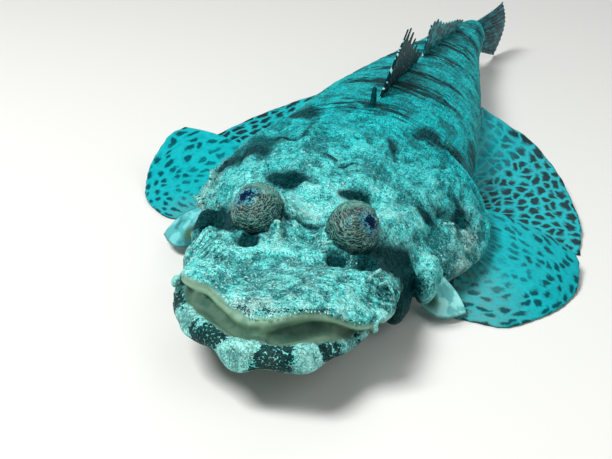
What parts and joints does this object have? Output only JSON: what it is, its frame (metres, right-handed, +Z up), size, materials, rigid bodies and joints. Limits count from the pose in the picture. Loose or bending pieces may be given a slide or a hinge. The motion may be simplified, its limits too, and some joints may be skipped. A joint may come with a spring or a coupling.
{
  "type": "crocodilefish",
  "caption": "Still life-size crocodilefish lying on its belly: broad flat head, slightly open skewed jaw, raised eyes, spread fan fins and a tail bent to its left.",
  "frame": {"origin": "middle of the bounding box, at the floor on which the fish lies", "axes": "+X toward the fish's left, +Y from snout to tail, +Z up"},
  "size_m": [0.2716, 0.6468, 0.1093],
  "materials": {
    "head_skin": "mottled pale green skin with fine dark pepper, slightly moist",
    "jaw_skin": "pale skin with dark bars",
    "back_skin": "scaly skin with dark saddles",
    "tail_skin": "scaly skin with dark bands",
    "eye": "wet clear cornea over a lacy brown iris",
    "pale_fin": "thin membrane with a pale net round grey cells",
    "dark_net_fin": "thin membrane with a pale net round dark cells",
    "white_flap": "white membrane with a few grey spots",
    "dark_fin": "dark brown membrane with pale spots and bands",
    "barred_fin": "clear membrane with barred rays"
  },
  "bodies": {
    "root": {"head": "head_skin", "lower_jaw": "jaw_skin", "eye_left": "eye", "eye_right": "eye", "torso_front": "back_skin", "torso_rear": "back_skin", "tail": "tail_skin", "pectoral_fin_left": "pale_fin", "pectoral_fin_right": "pale_fin", "pelvic_fin_left": "dark_net_fin", "pelvic_fin_right": "dark_net_fin", "gill_flap_left": "white_flap", "gill_flap_right": "white_flap", "first_dorsal_fin": "dark_fin", "second_dorsal_fin": "barred_fin", "anal_fin": "pale_fin", "caudal_fin": "dark_fin"}
  },
  "joints": []
}
